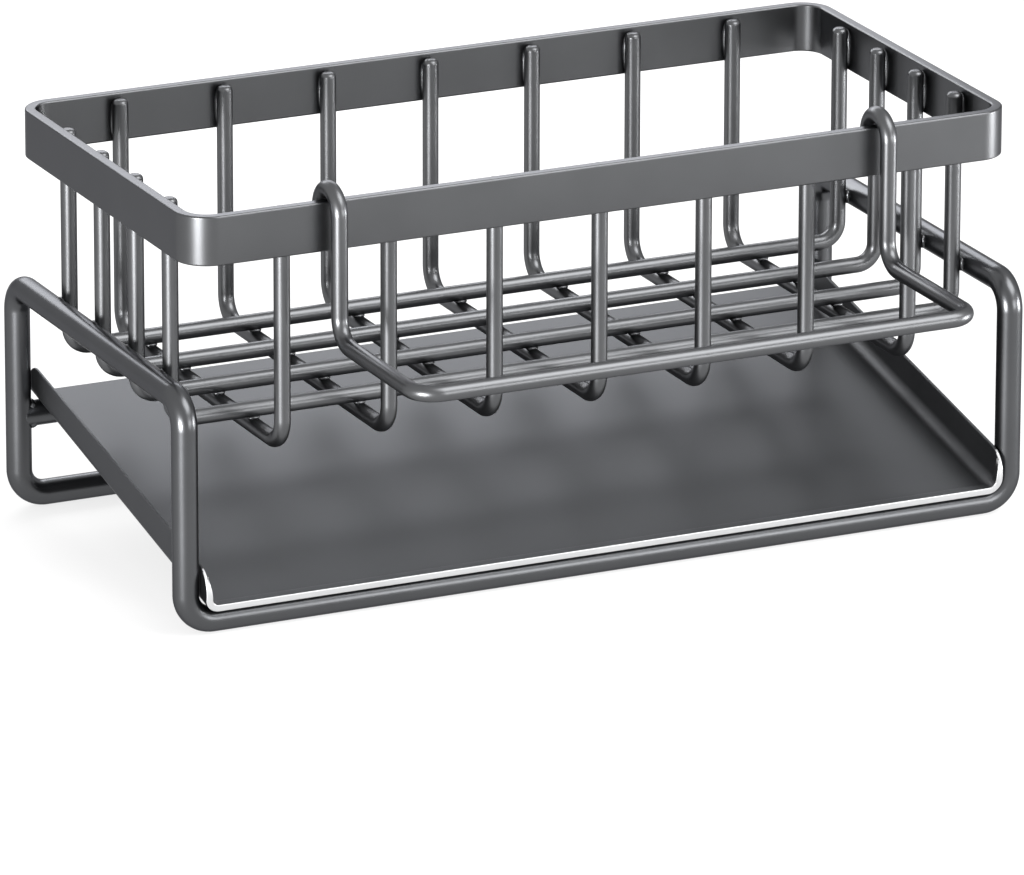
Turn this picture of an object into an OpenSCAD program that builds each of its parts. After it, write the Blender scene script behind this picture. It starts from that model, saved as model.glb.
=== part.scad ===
// Kitchen sink caddy: a wire basket with a flat-bar rim, welded to a stand of round bar,
// with a sloping drain tray that pulls out and a towel bar that hooks over the rim.
// Millimetres, +Z up, front towards -Y. The origin is on the counter, under the middle of the stand.

/* [Rim] */
// Outside length of the rim, left to right
rim_l = 240; // [200:1:300]
// Outside depth of the rim, front to rear
rim_w = 117; // [100:1:150]
// Height of the rim's top edge above the counter
rim_top = 113.6; // [105:0.1:140]
// Height of the flat bar
rim_h = 13.4; // [9:0.1:18]
// Thickness of the flat bar
rim_t = 3; // [2:0.5:4]
// Outside radius of the rim's corners
rim_r = 9; // [8:0.5:18]
// Rounding along the flat bar's edges
rim_edge_r = 0.5; // [0.3:0.1:0.8]

/* [Basket wires] */
// Diameter of the basket wire
wire_d = 4.4; // [3:0.1:5]
// Number of wires that run front to rear
cross_n = 7; // [5:2:9]
// Distance from each end of the rim to the first wire that runs front to rear
cross_margin = 28.5; // [24:0.5:34]
// Number of wires that run left to right
long_n = 4; // [2:1:5]
// Distance from the front and rear of the rim to the first wire that runs left to right
long_margin = 24.45; // [20:0.05:30]
// Height of the basket floor's top above the counter
floor_top = 53.6; // [48:0.1:70]
// Bend radius of the cross wires, at the middle of the wire
cross_bend_r = 7; // [5:0.5:9]
// Bend radius of the long wires, at the middle of the wire
long_bend_r = 5.5; // [5:0.5:12]
// Distance from the rim's top edge down to the wire ends
wire_end_drop = 1.2; // [1:0.1:4]
// Easing round the wires' cut ends
wire_ease = 0.5; // [0.2:0.1:1]

/* [Stand] */
// Diameter of the stand's round bar
bar_d = 7; // [5:0.5:8]
// Bend radius of the stand, at the middle of the bar
bar_bend_r = 7.5; // [6:0.5:14]
// Height of the stand over its side bars
stand_h = 67.3; // [60:0.1:80]
// Depth of the stand, between the middles of its front and rear legs
stand_w = 113.2; // [100:0.1:130]
// Gap between a side bar and the long wires, filled by the weld
weld_gap = 0.3; // [0:0.1:0.6]
// Height of the middle of the tray rest bar above the counter
rest_z = 26.4; // [18:0.1:30]

/* [Drain tray] */
// Thickness of the tray's sheet
tray_t = 0.9; // [0.7:0.1:1.1]
// Outside radius of the bend between the tray's floor and sides
tray_bend_r = 4; // [3:0.5:6]
// Height of the tray's sides at the front
tray_side_front = 11.3; // [9:0.1:16]
// Height of the tray's sides at the rear
tray_side_rear = 10; // [8:0.1:16]
// Rounding of the sides' front top corners
tray_nose_r = 7; // [3:0.5:8]
// Rounding of the sides' rear top corners
tray_heel_r = 4.5; // [2:0.5:6]
// Reach of the tray past the middle of the front foot bar
tray_nose = 3.5; // [2:0.5:12]
// Reach of the tray past the middle of the tray rest bar
tray_tail = 3.5; // [2:0.5:12]
// Width of the turned-over front edge
hem_w = 2.6; // [2.2:0.1:4]
// Clearance between the tray and each leg
tray_side_gap = 0.3; // [0.2:0.1:2]
// Clearance between the tray and the bars under it
tray_lift = 0.3; // [0.1:0.1:1]

/* [Towel bar] */
// Diameter of the towel bar's wire
towel_d = 4.5; // [3.5:0.1:5.5]
// Place of each hook, as a share of the space between the last two front-to-rear wires
hook_share = 0.385; // [0.3:0.005:0.7]
// Reach of the bar in front of its arms
towel_reach = 50; // [30:1:70]
// Height of the bar's middle above the counter
towel_z = 77; // [70:0.5:90]
// Radius of the hooks, at the middle of the wire
hook_r = 6; // [5:0.1:7]
// Depth of the hooks' inner legs below the rim's top edge
hook_depth = 8; // [4:0.5:12]
// Bend radius at the foot of each arm
arm_bend_r = 7; // [5:0.5:10]
// Bend radius at each front corner of the bar
corner_bend_r = 6.5; // [5:0.5:12]
// Clearance between the hooks' inner legs and the rim
hook_gap = 1.4; // [0.3:0.1:2]
// Clearance between the crowns of the hooks and the rim's top
hook_lift = 0.1; // [0.1:0.1:0.5]

/* [Hidden] */
steel = [0.345, 0.349, 0.357];
wire_steel = [0.46, 0.465, 0.47];
tray_steel = [0.42, 0.424, 0.43];
$fn = 48;
// Steps in an arc of the tray's outline
arc_steps = 10;
// Runs shorter than this are left out
shortest_run = 0.01;

// Spacing of the basket wires
cross_pitch = (rim_l - 2 * cross_margin) / (cross_n - 1);
long_pitch = (rim_w - 2 * long_margin) / (long_n - 1);

// Middles of the basket wires' uprights, which stand against the rim's inner faces
upright_x = rim_l / 2 - rim_t - wire_d / 2;
upright_y = rim_w / 2 - rim_t - wire_d / 2;
long_z = floor_top - wire_d / 2;
cross_z = long_z - wire_d;
wire_end_z = rim_top - wire_end_drop;

// Middles of the stand's legs and bars
leg_x = upright_x + wire_d / 2 + weld_gap + bar_d / 2;
leg_y = stand_w / 2;
foot_z = bar_d / 2;
side_z = stand_h - bar_d / 2;

// The tray's slope, set by the two bars that carry it
tray_slope = atan((rest_z - foot_z) / stand_w);
bar_span = stand_w / cos(tray_slope);
tray_l = tray_nose + bar_span + tray_tail;
tray_w = 2 * (leg_x - bar_d / 2 - tray_side_gap);
tray_floor_w = tray_w - 2 * tray_bend_r;
// A sheet turned over flat is a little over twice as thick
fold_share = 2.2;
hem_t = fold_share * tray_t;

// Middles of the rounded corners at the tops of the tray's sides, along the tray and up from its underside
side_fall = atan((tray_side_front - tray_side_rear) / tray_l);
least_upright = 0.1;
nose_r = min(tray_nose_r, tray_side_front - tray_bend_r - least_upright);
nose = [nose_r, side_height(nose_r) - nose_r / cos(side_fall)];
heel = [tray_l - tray_heel_r, side_height(tray_l - tray_heel_r) - tray_heel_r / cos(side_fall)];

// Middles of the towel bar's wire
towel_x = rim_l / 2 - cross_margin - hook_share * cross_pitch;
hook_in_y = -rim_w / 2 + rim_t + hook_gap + towel_d / 2;
arm_y = hook_in_y - 2 * hook_r;
towel_y = arm_y - towel_reach;

// The hooks' crowns hang on whichever top edge of the rim they meet first, to a hundredth of a millimetre
hook_inside = hook_r - towel_d / 2;
rim_reach = max(hook_inside - hook_gap, rim_t + hook_gap - hook_inside);
seat_step = 0.01;
hook_seat = floor(sqrt(hook_inside * hook_inside - rim_reach * rim_reach) / seat_step) * seat_step;
hook_top_z = rim_top + hook_lift - hook_seat + hook_r;

function unit(v) = v / norm(v);
function turn_of(u, v) = acos(max(-1, min(1, u * v)));
function run_dir(a, b) = unit(b - a);

// Length that a bend takes off the runs on both sides of its corner
function bend_cut(before, corner, after, r) =
    r * tan(turn_of(run_dir(before, corner), run_dir(corner, after)) / 2);

// Points of an arc in an outline
function arc_point(centre, r, from, to, i) =
    let (a = from + (to - from) * i / arc_steps) centre + r * [cos(a), sin(a)];
function arc(centre, r, from, to) = [for (i = [0:arc_steps]) arc_point(centre, r, from, to, i)];

// Height of the tray's sides at a distance from the front edge
function side_height(s) = tray_side_front + (tray_side_rear - tray_side_front) * s / tray_l;

// One straight run of round bar
module run(a, b, d) {
    v = b - a;
    if (norm(v) > shortest_run)
        translate(a)
            rotate([0, acos(v.z / norm(v)), atan2(v.y, v.x)])
                cylinder(d = d, h = norm(v));
}

// One bend of round bar, tangent to the runs before and after its corner
module bend(before, corner, after, r, d) {
    u = run_dir(before, corner);
    v = run_dir(corner, after);
    inward = unit(v - u * (u * v));
    axis = cross(-inward, u);
    centre = corner - u * bend_cut(before, corner, after, r) + inward * r;
    multmatrix([
        [-inward.x, u.x, axis.x, centre.x],
        [-inward.y, u.y, axis.y, centre.y],
        [-inward.z, u.z, axis.z, centre.z],
        [0, 0, 0, 1]
    ])
        rotate_extrude(angle = turn_of(u, v))
            translate([r, 0])
                circle(d = d);
}

// Round bar bent along a path: bends holds one radius for each point, zero at an open end
module bent_bar(path, bends, d, closed = false) {
    n = len(path);
    corners = closed ? [0:n - 1] : [1:n - 2];
    cuts = [
        for (i = [0:n - 1])
            bends[i] == 0 ? 0 : bend_cut(path[(i + n - 1) % n], path[i], path[(i + 1) % n], bends[i])
    ];
    for (i = [0:closed ? n - 1 : n - 2]) {
        a = path[i];
        b = path[(i + 1) % n];
        run(a + run_dir(a, b) * cuts[i], b - run_dir(a, b) * cuts[(i + 1) % n], d);
    }
    for (i = corners)
        bend(path[(i + n - 1) % n], path[i], path[(i + 1) % n], bends[i], d);
}

// A U of basket wire, drawn along its own length, with eased ends
module basket_wire(half, floor_z, r) {
    ends = [[-half, 0, wire_end_z - wire_ease], [half, 0, wire_end_z - wire_ease]];
    bent_bar([ends[0], [-half, 0, floor_z], [half, 0, floor_z], ends[1]], [0, r, r, 0], wire_d);
    for (p = ends)
        translate(p)
            cylinder(d1 = wire_d, d2 = wire_d - 2 * wire_ease, h = wire_ease);
}

// Section of the flat bar, standing on its edge from x = 0 outwards
module rim_section() {
    translate([rim_edge_r, 0])
        square([rim_t - 2 * rim_edge_r, rim_h]);
    translate([0, rim_edge_r])
        square([rim_t, rim_h - 2 * rim_edge_r]);
    for (x = [rim_edge_r, rim_t - rim_edge_r])
        for (z = [rim_edge_r, rim_h - rim_edge_r])
            translate([x, z])
                circle(r = rim_edge_r);
}

// A straight side of the rim, out from the middle of the rectangle
module rim_side(length, out) {
    translate([out - rim_t, length / 2, 0])
        rotate([90, 0, 0])
            linear_extrude(length)
                rim_section();
}

module rim_band() {
    corner_x = rim_l / 2 - rim_r;
    corner_y = rim_w / 2 - rim_r;
    color(steel)
        translate([0, 0, rim_top - rim_h])
            for (turn = [0, 180])
                rotate([0, 0, turn]) {
                    rim_side(2 * corner_y, rim_l / 2);
                    rotate([0, 0, 90])
                        rim_side(2 * corner_x, rim_w / 2);
                    translate([corner_x, corner_y, 0])
                        rotate_extrude(angle = 90)
                            translate([rim_r - rim_t, 0])
                                rim_section();
                    translate([-corner_x, corner_y, 0])
                        rotate([0, 0, 90])
                            rotate_extrude(angle = 90)
                                translate([rim_r - rim_t, 0])
                                    rim_section();
                }
}

// Front-to-rear wire, counted from the left
module cross_wire(i) {
    x = (i - (cross_n + 1) / 2) * cross_pitch;
    color(wire_steel)
        translate([x, 0, 0])
            rotate([0, 0, 90])
                basket_wire(upright_y, cross_z, cross_bend_r);
}

// Left-to-right wire, counted from the front
module long_wire(i) {
    y = (i - (long_n + 1) / 2) * long_pitch;
    color(wire_steel)
        translate([0, y, 0])
            basket_wire(upright_x, long_z, long_bend_r);
}

// The stand's closed loop: front foot bar, right legs and side bar, rear foot bar, left side bar and legs
module stand_frame() {
    path = [
        [-leg_x, -leg_y, foot_z],
        [leg_x, -leg_y, foot_z],
        [leg_x, -leg_y, side_z],
        [leg_x, leg_y, side_z],
        [leg_x, leg_y, foot_z],
        [-leg_x, leg_y, foot_z],
        [-leg_x, leg_y, side_z],
        [-leg_x, -leg_y, side_z]
    ];
    color(steel)
        bent_bar(path, [for (p = path) bar_bend_r], bar_d, closed = true);
}

// Straight bar between the rear legs, its ends cut to fit round them
module tray_rest_bar() {
    color(steel)
        difference() {
            run([-leg_x, leg_y, rest_z], [leg_x, leg_y, rest_z], bar_d);
            for (x = [-leg_x, leg_x])
                run([x, leg_y, foot_z], [x, leg_y, side_z], bar_d);
        }
}

// Outline of a tray side above its bend, with s = 0 at the front edge
module side_outline() {
    polygon(concat(
        [[0, tray_bend_r], [tray_l, tray_bend_r]],
        arc(heel, tray_heel_r, 0, 90 - side_fall),
        arc(nose, nose_r, 90 - side_fall, 180)
    ));
}

// Outline of the hem on the same side: full width at the bend, narrowing to nothing round the front corner
module side_hem_outline() {
    polygon(concat(
        [[0, tray_bend_r], [hem_w, tray_bend_r]],
        [
            for (i = [0:arc_steps - 1])
                arc_point(nose, nose_r - hem_w * (1 - i / arc_steps), 180, 90 - side_fall, i)
        ],
        arc(nose, nose_r, 90 - side_fall, 180)
    ));
}

// Floor and both bends over a length back from the front edge
module tray_pan(length, t) {
    translate([-tray_floor_w / 2, 0, 0])
        cube([tray_floor_w, length, t]);
    for (side = [-1, 1])
        translate([side * tray_floor_w / 2, 0, tray_bend_r])
            rotate([-90, 0, 0])
                rotate([0, 0, side > 0 ? 0 : 90])
                    rotate_extrude(angle = 90)
                        translate([tray_bend_r - t, 0])
                            square([t, length]);
}

// Both sides from the outline of one
module tray_sides(t) {
    for (x = [-tray_w / 2, tray_w / 2 - t])
        translate([x, 0, 0])
            rotate([90, 0, 90])
                linear_extrude(t)
                    children();
}

module drain_tray() {
    color(tray_steel)
        translate([0, -leg_y, foot_z])
            rotate([tray_slope, 0, 0])
                translate([0, -tray_nose, bar_d / 2 + tray_lift]) {
                    tray_pan(tray_l, tray_t);
                    tray_pan(hem_w, hem_t);
                    tray_sides(tray_t)
                        side_outline();
                    tray_sides(hem_t)
                        side_hem_outline();
                }
}

module towel_bar() {
    tip_z = rim_top - hook_depth;
    right = [
        [towel_x, towel_y, towel_z],
        [towel_x, arm_y, towel_z],
        [towel_x, arm_y, hook_top_z],
        [towel_x, hook_in_y, hook_top_z],
        [towel_x, hook_in_y, tip_z]
    ];
    left = [for (i = [len(right) - 1:-1:0]) [-right[i].x, right[i].y, right[i].z]];
    hook_bends = [corner_bend_r, arm_bend_r, hook_r, hook_r, 0];
    color(wire_steel) {
        bent_bar(
            concat(left, right),
            concat([for (i = [len(hook_bends) - 1:-1:0]) hook_bends[i]], hook_bends),
            towel_d
        );
        for (x = [-towel_x, towel_x])
            translate([x, hook_in_y, tip_z])
                sphere(d = towel_d);
    }
}

rim_band();
for (i = [1:cross_n])
    cross_wire(i);
for (i = [1:long_n])
    long_wire(i);
stand_frame();
tray_rest_bar();
drain_tray();
towel_bar();
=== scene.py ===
import math
import random

import bpy
from mathutils import Matrix, Vector


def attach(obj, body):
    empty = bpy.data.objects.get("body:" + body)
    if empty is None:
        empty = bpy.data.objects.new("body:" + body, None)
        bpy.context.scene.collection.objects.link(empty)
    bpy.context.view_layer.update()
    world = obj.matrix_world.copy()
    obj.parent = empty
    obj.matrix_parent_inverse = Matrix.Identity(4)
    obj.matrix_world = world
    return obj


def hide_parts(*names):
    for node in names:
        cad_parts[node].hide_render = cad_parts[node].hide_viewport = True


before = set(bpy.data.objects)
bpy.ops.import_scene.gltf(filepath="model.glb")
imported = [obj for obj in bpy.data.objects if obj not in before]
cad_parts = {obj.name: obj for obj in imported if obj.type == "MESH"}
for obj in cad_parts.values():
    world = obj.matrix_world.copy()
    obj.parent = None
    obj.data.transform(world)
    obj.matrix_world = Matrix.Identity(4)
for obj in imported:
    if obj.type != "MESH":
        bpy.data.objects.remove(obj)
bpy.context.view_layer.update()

scene = bpy.context.scene
scene.view_settings.view_transform = "Standard"

# ---- Camera
# A long lens a little above the caddy and to the left of its middle, where the photograph was taken from. Its place
# was fitted to the caddy's straight edges. Angles are in degrees, the lens and the sensor in millimetres.
camera_place = (-1.11932, -2.38337, 0.90022)
camera_turn, camera_tilt, camera_roll = -25.15, -18.48, 0.12
camera_lens, camera_sensor = 361.65, 36
camera = bpy.data.objects.new("camera", bpy.data.cameras.new("camera"))
scene.collection.objects.link(camera)
camera.matrix_world = (
    Matrix.Translation(camera_place)
    @ Matrix.Rotation(math.radians(camera_turn), 4, "Z")
    @ Matrix.Rotation(math.radians(90 + camera_tilt), 4, "X")
    @ Matrix.Rotation(math.radians(camera_roll), 4, "Z")
)
camera.data.sensor_fit = "HORIZONTAL"
camera.data.sensor_width = camera_sensor
camera.data.lens = camera_lens
camera.data.clip_start = 0.1
camera.data.clip_end = 30
scene.camera = camera


# ---- Counter and light
# A plain white counter that runs out of sight, under five soft boxes: a wide one overhead, one in front for the
# faces of the rim, two small low ones at the left and right for the uprights, and one behind for the tray.
class Value:
    """A socket of a material. Sums and products on it add Math nodes, and node() adds any other node, with its
    inputs given by name, or by number as n0, n1 and so on where names repeat."""

    def __init__(self, tree, socket=None):
        self.tree = tree
        self.socket = socket

    def node(self, kind, settings=None, output=0, **inputs):
        made = self.tree.nodes.new(kind)
        for name, setting in (settings or {}).items():
            setattr(made, name, setting)
        for name, given in inputs.items():
            socket = made.inputs[int(name[1:])] if name[1:].isdigit() else made.inputs[name.replace("_", " ")]
            if isinstance(given, Value):
                self.tree.links.new(given.socket, socket)
            else:
                socket.default_value = given
        return Value(self.tree, made.outputs[output] if made.outputs else None)

    def math(self, operation, *terms):
        inputs = {f"n{i}": term for i, term in enumerate(terms)}
        return self.node("ShaderNodeMath", {"operation": operation}, **inputs)

    def __add__(self, other):
        return self.math("ADD", self, other)

    __radd__ = __add__

    def __mul__(self, other):
        return self.math("MULTIPLY", self, other)

    __rmul__ = __mul__

    def seen_directly(self):
        """1 for rays from the camera and for those that mirror or pass through, 0 for the rest."""
        camera_ray = self.node("ShaderNodeLightPath", output="Is Camera Ray")
        glossy = self.node("ShaderNodeLightPath", output="Is Glossy Ray")
        through = self.node("ShaderNodeLightPath", output="Is Transmission Ray")
        return self.math("MAXIMUM", self.math("MAXIMUM", camera_ray, glossy), through)


def new_material(name):
    material = bpy.data.materials.new(name)
    material.use_nodes = True
    material.node_tree.nodes.clear()
    return material, Value(material.node_tree)


counter_size, counter_white, counter_glow, sky_fill = 24, 0.88, 0.75, 0.95
bpy.ops.object.select_all(action="DESELECT")
bpy.ops.mesh.primitive_plane_add(size=counter_size)
counter = bpy.context.active_object
counter.name = "counter"
material, m = new_material("white_counter")
matt = m.node("ShaderNodeBsdfDiffuse", Color=(counter_white, counter_white, counter_white, 1))
white = m.node("ShaderNodeEmission", Color=(1, 1, 1, 1), Strength=1.0)
m.node("ShaderNodeOutputMaterial", Surface=m.node(
    "ShaderNodeMixShader", Fac=m.seen_directly() * counter_glow, n1=matt, n2=white))
counter.data.materials.append(material)

world = bpy.data.worlds.new("studio")
scene.world = world
world.use_nodes = True
world.node_tree.nodes.clear()
w = Value(world.node_tree)
w.node("ShaderNodeOutputWorld", Surface=w.node(
    "ShaderNodeMixShader",
    Fac=w.seen_directly(),
    n1=w.node("ShaderNodeBackground", Color=(1, 1, 1, 1), Strength=sky_fill),
    n2=w.node("ShaderNodeBackground", Color=(1, 1, 1, 1), Strength=1.0),
))

# Each box's middle, its width and height, and its watts. All of them face the middle of the counter.
for name, place, size, watts in (
    ("top_box", (0.53, -0.63, 1.12), (0.9, 0.9), 16),
    ("front_box", (0.46, -1.02, 0.22), (0.5, 0.32), 3.6),
    ("left_box", (-0.68, -0.50, 0.07), (0.26, 0.14), 11.5),
    ("right_box", (0.52, -0.27, 0.06), (0.14, 0.14), 2.5),
    ("back_box", (0.10, 0.55, 0.36), (0.6, 0.2), 3.5),
):
    lamp = bpy.data.objects.new(name, bpy.data.lights.new(name, "AREA"))
    scene.collection.objects.link(lamp)
    lamp.data.shape = "RECTANGLE"
    lamp.data.size, lamp.data.size_y = size
    lamp.data.energy = watts
    lamp.location = place
    lamp.rotation_euler = (-Vector(place)).to_track_quat("-Z", "Y").to_euler()
    lamp.visible_camera = False


# ---- Rim
# Flat steel bar, 13.4 by 3 mm, bent on edge into a rounded rectangle and butt-welded at the rear, then ground,
# with its long edges eased. Everything else hangs from it.
rim_length, rim_depth = 0.240, 0.117
rim_top, rim_height, rim_thick = 0.1136, 0.0134, 0.003
rim_corner, rim_edge = 0.009, 0.0005
corner_steps, edge_steps = 20, 4


def finish_piece(piece, name, body, slot, material, *nodes, angle=35):
    """Puts a finished mesh in place of its CAD nodes, smooth except at its sharp edges."""
    bpy.ops.object.mode_set(mode="OBJECT")
    bpy.ops.object.select_all(action="DESELECT")
    piece.select_set(True)
    bpy.context.view_layer.objects.active = piece
    bpy.ops.object.transform_apply(location=True, rotation=True, scale=True)
    bpy.ops.object.shade_smooth_by_angle(angle=math.radians(angle))
    even = piece.modifiers.new("even_shading", "WEIGHTED_NORMAL")
    even.keep_sharp = True
    bpy.ops.object.modifier_apply(modifier="even_shading")
    piece.name = name
    piece.data.name = name
    piece.data.materials.clear()
    piece.data.materials.append(material)
    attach(piece, body)
    if nodes:
        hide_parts(*nodes)


def coating(name, colour, rough, grain, metal=1.0):
    """Satin grey coating on steel: an even colour with a faint cloudiness and a fine skin of texture."""
    cloud_scale, cloud_tone, cloud_rough = 55.0, 0.07, 0.04
    skin_share, skin_depth = 0.06, 0.00005
    material, m = new_material(name)
    place = m.node("ShaderNodeTexCoord", output="Object")
    clouds = m.node("ShaderNodeTexNoise", Vector=place, Scale=cloud_scale, Detail=3.0, Roughness=0.55)
    skin = m.node("ShaderNodeTexNoise", Vector=place, Scale=grain, Detail=2.0, Roughness=0.6)
    tone = m.node("ShaderNodeMix", {"data_type": "RGBA"}, output="Result", Factor=clouds,
                  n6=(*[c * (1 - cloud_tone) for c in colour], 1), n7=(*[c * (1 + cloud_tone) for c in colour], 1))
    bump = m.node("ShaderNodeBump", Strength=skin_share, Distance=skin_depth, Height=skin)
    m.node("ShaderNodeOutputMaterial", Surface=m.node(
        "ShaderNodeBsdfPrincipled",
        Base_Color=tone,
        Metallic=metal,
        Roughness=rough - cloud_rough + 2 * cloud_rough * clouds,
        Specular_Tint=(0.45, 0.45, 0.46, 1),
        Normal=bump,
    ))
    return material


band_coating = coating("band_coating", (0.1, 0.102, 0.106), 0.31, 2600.0)

bpy.ops.object.select_all(action="DESELECT")
bpy.ops.mesh.primitive_plane_add(size=1, location=(0, 0, rim_top))
rim = bpy.context.active_object
rim.scale = (rim_length, rim_depth, 1)
bpy.ops.object.transform_apply(location=True, rotation=True, scale=True)
bpy.ops.object.mode_set(mode="EDIT")
bpy.ops.mesh.select_all(action="SELECT")
bpy.ops.mesh.bevel(offset=rim_corner, segments=corner_steps, profile=0.5, affect="VERTICES")
bpy.ops.mesh.select_all(action="SELECT")
bpy.ops.mesh.inset(thickness=rim_thick, use_even_offset=True)
bpy.ops.mesh.delete(type="ONLY_FACE")
bpy.ops.mesh.select_all(action="SELECT")
bpy.ops.mesh.extrude_region_move(TRANSFORM_OT_translate={"value": (0, 0, -rim_height)})
bpy.ops.mesh.select_all(action="SELECT")
bpy.ops.mesh.normals_make_consistent(inside=False)
bpy.ops.mesh.select_all(action="DESELECT")
bpy.ops.mesh.select_mode(type="EDGE")
bpy.ops.mesh.edges_select_sharp(sharpness=math.radians(60))
bpy.ops.mesh.bevel(offset=rim_edge, segments=edge_steps, profile=0.5, affect="EDGES")
finish_piece(rim, "rim_bar", "caddy", "coated_band", band_coating, "rim_band", angle=40)


# ---- Basket wires
# Seven wires bent to a U run front to rear, and four run left to right on top of them. Each is 4.4 mm steel
# wire, spot-welded where it crosses another and where its ends stand against the inside of the rim.
wire_width, wire_end_drop = 0.0044, 0.0012
cross_bend, long_bend = 0.007, 0.0055
cross_pitch, long_pitch = 0.0305, 0.0227
floor_top = 0.0536
wire_top = rim_top - wire_end_drop
upright_x = rim_length / 2 - rim_thick - wire_width / 2
upright_y = rim_depth / 2 - rim_thick - wire_width / 2
long_level = floor_top - wire_width / 2
cross_level = long_level - wire_width
cross_places = [(i - 3) * cross_pitch for i in range(7)]
long_places = [(i - 1.5) * long_pitch for i in range(4)]
wire_coating = coating("wire_coating", (0.108, 0.11, 0.114), 0.34, 2600.0)


def pick(piece, kind, wanted):
    """Goes to edit mode with some vertices, edges or faces selected. wanted() is given a vertex's place, an
    edge's middle or a face, and says whether to take it."""
    bpy.ops.object.mode_set(mode="OBJECT")
    mesh = piece.data
    for parts in (mesh.vertices, mesh.edges, mesh.polygons):
        parts.foreach_set("select", [False] * len(parts))
    if kind == "VERT":
        for vertex in mesh.vertices:
            vertex.select = wanted(vertex.co)
    elif kind == "EDGE":
        for edge in mesh.edges:
            start, end = [mesh.vertices[k].co for k in edge.vertices]
            edge.select = wanted((start + end) / 2)
    else:
        for face in mesh.polygons:
            face.select = wanted(face)
    bpy.ops.object.mode_set(mode="EDIT")
    bpy.ops.mesh.select_mode(type=kind)


def bent_rod(corners, bends, width, closed=False, ring=10, steps=12, ease=0.0013):
    """Rod bent at each corner to the given radius, at its middle. Open ends are cut square and eased."""
    bpy.ops.object.select_all(action="DESELECT")
    bpy.ops.mesh.primitive_plane_add(size=0.001, location=corners[0])
    bpy.ops.object.mode_set(mode="EDIT")
    bpy.ops.mesh.select_mode(type="VERT")
    bpy.ops.mesh.merge(type="CENTER")
    for start, end in zip(corners, corners[1:]):
        bpy.ops.mesh.extrude_vertices_move(TRANSFORM_OT_translate={"value": Vector(end) - Vector(start)})
    rod = bpy.context.active_object
    bpy.ops.object.mode_set(mode="OBJECT")
    bpy.ops.object.transform_apply(location=True, rotation=True, scale=True)
    if closed:
        pick(rod, "VERT", lambda at: min((at - Vector(corners[k])).length for k in (0, -1)) < 1e-5)
        bpy.ops.mesh.edge_face_add()
    for corner, bend in zip(corners, bends):
        if bend:
            pick(rod, "VERT", lambda at: (at - Vector(corner)).length < 1e-5)
            bpy.ops.mesh.bevel(offset=bend, segments=steps, profile=0.5, affect="VERTICES")
    bpy.ops.object.mode_set(mode="EDIT")
    bpy.ops.mesh.select_all(action="SELECT")
    bpy.ops.mesh.remove_doubles(threshold=1e-5)
    bpy.ops.object.mode_set(mode="OBJECT")
    bpy.ops.object.convert(target="CURVE")
    rod.data.bevel_depth = width / 2
    rod.data.bevel_resolution = ring
    rod.data.use_fill_caps = True
    bpy.ops.object.convert(target="MESH")
    if not closed:
        bpy.ops.object.mode_set(mode="EDIT")
        bpy.ops.mesh.select_mode(type="EDGE")
        bpy.ops.mesh.select_all(action="SELECT")
        bpy.ops.mesh.remove_doubles(threshold=1e-6)
        bpy.ops.mesh.dissolve_limited(angle_limit=math.radians(1))
        bpy.ops.mesh.select_all(action="DESELECT")
        bpy.ops.mesh.edges_select_sharp(sharpness=math.radians(60))
        bpy.ops.mesh.bevel(offset=ease, segments=4, profile=0.5, affect="EDGES")
        bpy.ops.object.mode_set(mode="OBJECT")
    return rod


def copy_piece(piece, move):
    """A copy of a piece, with a mesh of its own, moved to another place."""
    bpy.ops.object.select_all(action="DESELECT")
    piece.select_set(True)
    bpy.context.view_layer.objects.active = piece
    bpy.ops.object.duplicate(linked=False)
    bpy.ops.transform.translate(value=move)
    return bpy.context.active_object


cross_wire = bent_rod(
    [(0, -upright_y, wire_top), (0, -upright_y, cross_level),
     (0, upright_y, cross_level), (0, upright_y, wire_top)],
    [0, cross_bend, cross_bend, 0], wire_width)
long_wire = bent_rod(
    [(-upright_x, 0, wire_top), (-upright_x, 0, long_level),
     (upright_x, 0, long_level), (upright_x, 0, wire_top)],
    [0, long_bend, long_bend, 0], wire_width)
for i, x in enumerate(cross_places):
    finish_piece(copy_piece(cross_wire, (x, 0, 0)), f"front_to_rear_wire_{i + 1}",
                 "caddy", "coated_wire", wire_coating, f"cross_wire_{i + 1}")
for i, y in enumerate(long_places):
    finish_piece(copy_piece(long_wire, (0, y, 0)), f"left_to_right_wire_{i + 1}",
                 "caddy", "coated_wire", wire_coating, f"long_wire_{i + 1}")
bpy.data.objects.remove(cross_wire)
bpy.data.objects.remove(long_wire)


# ---- Stand
# One length of 7 mm round bar bent to a closed loop with eight bends: foot bars, legs and side bars. Its ends meet
# in the middle of the front foot bar, where they are butt-welded and ground. The basket is welded to its sides.
bar_width, bar_bend = 0.007, 0.0075
leg_x, leg_y = 0.1208, 0.0566
foot_level, side_level = 0.0035, 0.0638
bar_coating = coating("bar_coating", (0.088, 0.09, 0.094), 0.3, 2200.0)
stand = bent_rod(
    [(0, -leg_y, foot_level),
     (leg_x, -leg_y, foot_level), (leg_x, -leg_y, side_level),
     (leg_x, leg_y, side_level), (leg_x, leg_y, foot_level),
     (-leg_x, leg_y, foot_level), (-leg_x, leg_y, side_level),
     (-leg_x, -leg_y, side_level), (-leg_x, -leg_y, foot_level)],
    [0] + [bar_bend] * 8, bar_width, closed=True, ring=14, steps=16)
finish_piece(stand, "stand_loop", "caddy", "coated_bar", bar_coating, "stand_frame")


# ---- Tray rest
# A straight length of the same bar between the rear legs, which holds up the rear of the tray. Its ends are cut to
# fit round the legs and are welded there.
rest_level = 0.0264
rest = bent_rod([(-leg_x, leg_y, rest_level), (leg_x, leg_y, rest_level)], [0, 0], bar_width, ring=14)
finish_piece(rest, "rest_bar", "caddy", "coated_bar", bar_coating, "tray_rest_bar")


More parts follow.
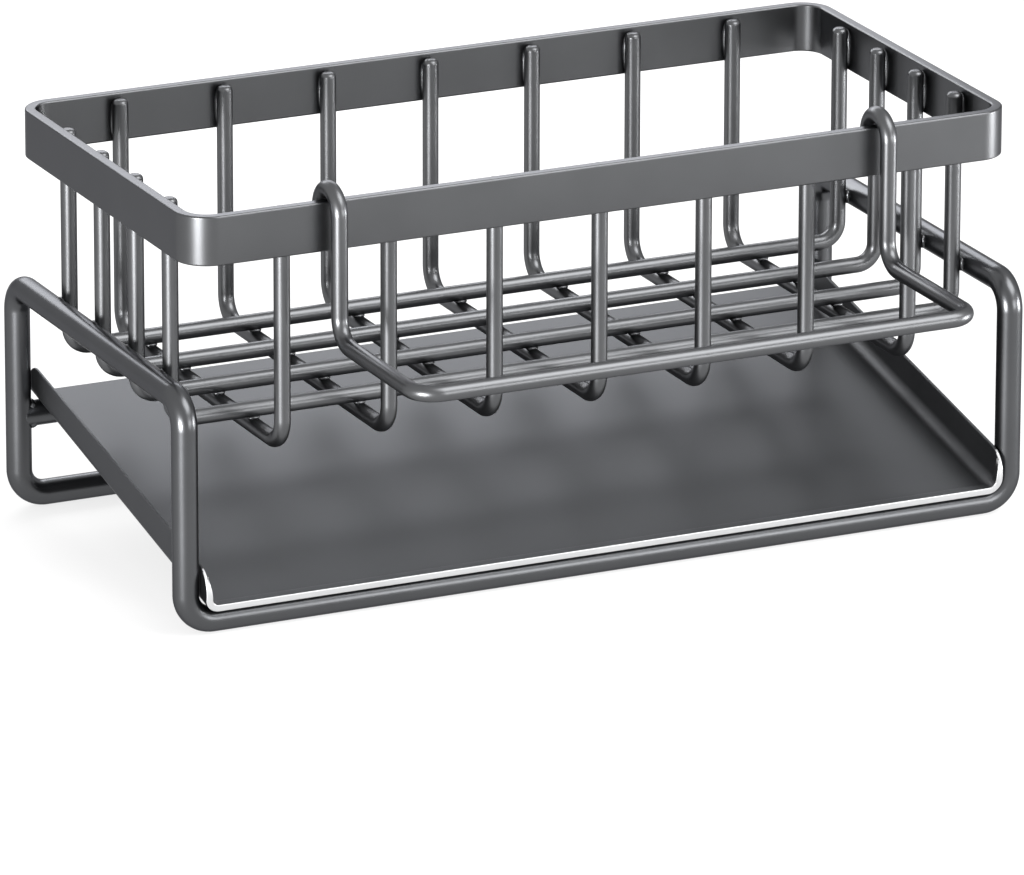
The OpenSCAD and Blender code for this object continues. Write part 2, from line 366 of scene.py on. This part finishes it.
# ---- Welds
# Beads of weld metal under the coating: beside each wire on the inside of the rim, at each crossing in the basket
# floor, between the side bars and the wires that they carry, and round the ends of the tray rest.
chance = random.Random(11)
rim_seat_width, rim_seat_depth = 0.0043, 0.0019
crossing_pad = (0.0036, 0.0036, 0.0013)
side_bar_pad = (0.0016, 0.0040, 0.0042)
rest_collar = (0.0036, 0.0064, 0.0084)


def weld_bead(place, size, roundness=0.8, uneven=0.03):
    """A rounded, slightly uneven pad of weld metal."""
    bpy.ops.object.select_all(action="DESELECT")
    bpy.ops.mesh.primitive_cube_add(size=1)
    bead = bpy.context.active_object
    bpy.ops.object.mode_set(mode="EDIT")
    bpy.ops.mesh.select_all(action="SELECT")
    bpy.ops.mesh.subdivide(number_cuts=5)
    bpy.ops.object.mode_set(mode="OBJECT")
    rounded = bead.modifiers.new("rounded", "CAST")
    rounded.factor = roundness
    rounded.use_radius_as_size = False
    rounded.size = 0.5
    bpy.ops.object.modifier_apply(modifier="rounded")
    for vertex in bead.data.vertices:
        vertex.co *= 1 + chance.uniform(-uneven, uneven)
    bead.scale = size
    bead.location = place
    bpy.ops.object.transform_apply(location=True, rotation=True, scale=True)
    swell = bead.modifiers.new("swell", "SUBSURF")
    swell.levels = swell.render_levels = 1
    bpy.ops.object.modifier_apply(modifier="swell")
    return bead


def join_pieces(pieces):
    bpy.ops.object.select_all(action="DESELECT")
    for piece in pieces:
        piece.select_set(True)
    bpy.context.view_layer.objects.active = pieces[0]
    bpy.ops.object.join()
    return bpy.context.active_object


seat_height = rim_height - 0.0020
seat_level = rim_top - rim_height / 2 - 0.0006
front_seat = (rim_seat_width, rim_seat_depth, seat_height)
end_seat = (rim_seat_depth, rim_seat_width, seat_height)
beads = []
for side in (-1, 1):
    for x in cross_places:
        beads.append(weld_bead((x, side * (rim_depth / 2 - rim_thick), seat_level), front_seat))
    for y in long_places:
        beads.append(weld_bead((side * (rim_length / 2 - rim_thick), y, seat_level), end_seat))
finish_piece(join_pieces(beads), "rim_welds", "caddy", "coated_wire", wire_coating, angle=60)

beads = [
    weld_bead((x, y, long_level - wire_width / 2), crossing_pad)
    for x in cross_places for y in long_places]
beads += [
    weld_bead((side * (leg_x - bar_width / 2), y, side_level), side_bar_pad)
    for side in (-1, 1) for y in long_places]
finish_piece(join_pieces(beads), "basket_welds", "caddy", "coated_wire", wire_coating, angle=60)

beads = [
    weld_bead((side * (leg_x - rest_collar[0]), leg_y, rest_level), rest_collar) for side in (-1, 1)]
finish_piece(join_pieces(beads), "tray_rest_welds", "caddy", "coated_bar", bar_coating, angle=60)


# ---- Drain tray
# One sheet of 0.9 mm steel, folded up at its two ends. It lies loose on the front foot bar and the tray rest, so
# that it slopes forward, and its front edge is turned over double, with a painted highlight on the fold's front
# faces.
sheet, sheet_ease, fold_radius = 0.0009, 0.00035, 0.004
wall_front, wall_rear = 0.0113, 0.010
nose_radius, heel_radius = 0.007, 0.0045
hem_depth, hem_thick = 0.0026, 0.00198
tray_reach, tray_gap = 0.0035, 0.0003
tray_half = leg_x - bar_width / 2 - tray_gap
slope = math.atan((rest_level - foot_level) / (2 * leg_y))
tray_length = 2 * leg_y / math.cos(slope) + 2 * tray_reach
near = 1e-5  # Places closer than this count as the same.

bpy.ops.object.select_all(action="DESELECT")
bpy.ops.mesh.primitive_plane_add(size=1, location=(0, tray_length / 2, 0))
tray = bpy.context.active_object
tray.scale = (2 * tray_half, tray_length, 1)
bpy.ops.object.transform_apply(location=True, rotation=True, scale=True)
pick(tray, "EDGE", lambda at: abs(abs(at.x) - tray_half) < near)
bpy.ops.mesh.extrude_region_move(TRANSFORM_OT_translate={"value": (0, 0, wall_front)})
pick(tray, "VERT", lambda at: at.z > 0.001 and at.y > 0.001)
bpy.ops.transform.translate(value=(0, 0, wall_rear - wall_front))
pick(tray, "EDGE", lambda at: abs(abs(at.x) - tray_half) < near and at.z < near)
bpy.ops.mesh.bevel(offset=fold_radius, segments=8, profile=0.5, affect="EDGES")
pick(tray, "VERT", lambda at: at.z > 0.008 and at.y < 0.001)
bpy.ops.mesh.bevel(offset=nose_radius, segments=10, profile=0.5, affect="VERTICES")
pick(tray, "VERT", lambda at: at.z > 0.008 and at.y > tray_length - 0.001)
bpy.ops.mesh.bevel(offset=heel_radius, segments=8, profile=0.5, affect="VERTICES")
bpy.ops.mesh.select_all(action="SELECT")
bpy.ops.mesh.bisect(plane_co=(0, hem_depth, 0), plane_no=(0, 1, 0))
bpy.ops.object.mode_set(mode="OBJECT")
thicken = tray.modifiers.new("sheet", "SOLIDIFY")
thicken.thickness = sheet
thicken.offset = 1
thicken.use_even_offset = True
bpy.ops.object.modifier_apply(modifier="sheet")


def inside_fold(face):
    """Faces of the turned-over strip that look into the tray."""
    if face.center.y > hem_depth:
        return False
    if abs(face.center.x) > tray_half - sheet - near:
        faces_in = face.normal.x * face.center.x < 0
        return abs(face.normal.x) > 0.9 and faces_in and face.center.z > fold_radius
    return face.normal.z > 0.05 and abs(face.normal.y) < 0.5


pick(tray, "FACE", inside_fold)
bpy.ops.mesh.extrude_region_shrink_fatten(
    TRANSFORM_OT_shrink_fatten={"value": hem_thick - sheet, "use_even_offset": True})
bpy.ops.object.mode_set(mode="OBJECT")

# The turned-over strip thins out as it climbs round the front corners of the walls.
wall_inside, thinning_height, most_thinned = tray_half - hem_thick, 0.0055, 0.98
for vertex in tray.data.vertices:
    at = vertex.co
    if at.y < hem_depth + near and at.z > fold_radius and abs(abs(at.x) - wall_inside) < 2e-4:
        share = min(1, (at.z - fold_radius) / thinning_height)
        at.x += math.copysign((hem_thick - sheet) * share ** 1.5 * most_thinned, at.x)

bpy.ops.object.mode_set(mode="EDIT")
bpy.ops.mesh.select_all(action="DESELECT")
bpy.ops.mesh.select_mode(type="EDGE")
bpy.ops.mesh.edges_select_sharp(sharpness=math.radians(60))
bpy.ops.mesh.bevel(offset=sheet_ease, segments=3, profile=0.5, affect="EDGES")
bpy.ops.object.mode_set(mode="OBJECT")
tray.matrix_world = (
    Matrix.Translation((0, -leg_y, foot_level)) @ Matrix.Rotation(slope, 4, "X")
    @ Matrix.Translation((0, -tray_reach, bar_width / 2 + tray_gap))
)
sheet_coating = coating("sheet_coating", (0.087, 0.089, 0.093), 0.43, 1800.0)
finish_piece(tray, "sloping_tray", "tray", "coated_sheet", sheet_coating, "drain_tray", angle=40)
# Painted highlight: a lighter, part-matt coating on the fold's faces that look forward and down the slope, in place
# of the light that the rounded fold catches.
tray.data.materials.append(coating("painted_highlight_fold", (0.4, 0.404, 0.408), 0.4, 3200.0, metal=0.6))
down_slope = Vector((0, -math.cos(slope), -math.sin(slope)))
for face in tray.data.polygons:
    if face.normal.dot(down_slope) > 0.35:
        face.material_index = 1


# ---- Towel bar
# One length of 4.5 mm wire with a hook at each end that hangs over the front of the rim. Nothing else holds it, so
# it lifts straight off.
towel_width, towel_reach, towel_level = 0.0045, 0.050, 0.077
arm_bend, towel_corner, towel_ease = 0.007, 0.0065, 0.0018
hook_share, hook_radius, hook_depth, hook_gap = 0.385, 0.006, 0.008, 0.0014
hook_lift, crown_drop = 0.0001, 0.00292
hook_x = (3 - hook_share) * cross_pitch
hook_in_y = -rim_depth / 2 + rim_thick + hook_gap + towel_width / 2
arm_y = hook_in_y - 2 * hook_radius
towel_front = arm_y - towel_reach
hook_top = rim_top + hook_lift - crown_drop + hook_radius
half = [
    (hook_x, towel_front, towel_level), (hook_x, arm_y, towel_level), (hook_x, arm_y, hook_top),
    (hook_x, hook_in_y, hook_top), (hook_x, hook_in_y, rim_top - hook_depth - towel_width / 2)]
half_bends = [towel_corner, arm_bend, hook_radius, hook_radius, 0]
towel_bar = bent_rod(
    [(-x, y, z) for x, y, z in reversed(half)] + half, half_bends[::-1] + half_bends,
    towel_width, ring=12, ease=towel_ease)
finish_piece(towel_bar, "hooked_towel_bar", "towel_rail", "coated_wire", wire_coating, "towel_bar")
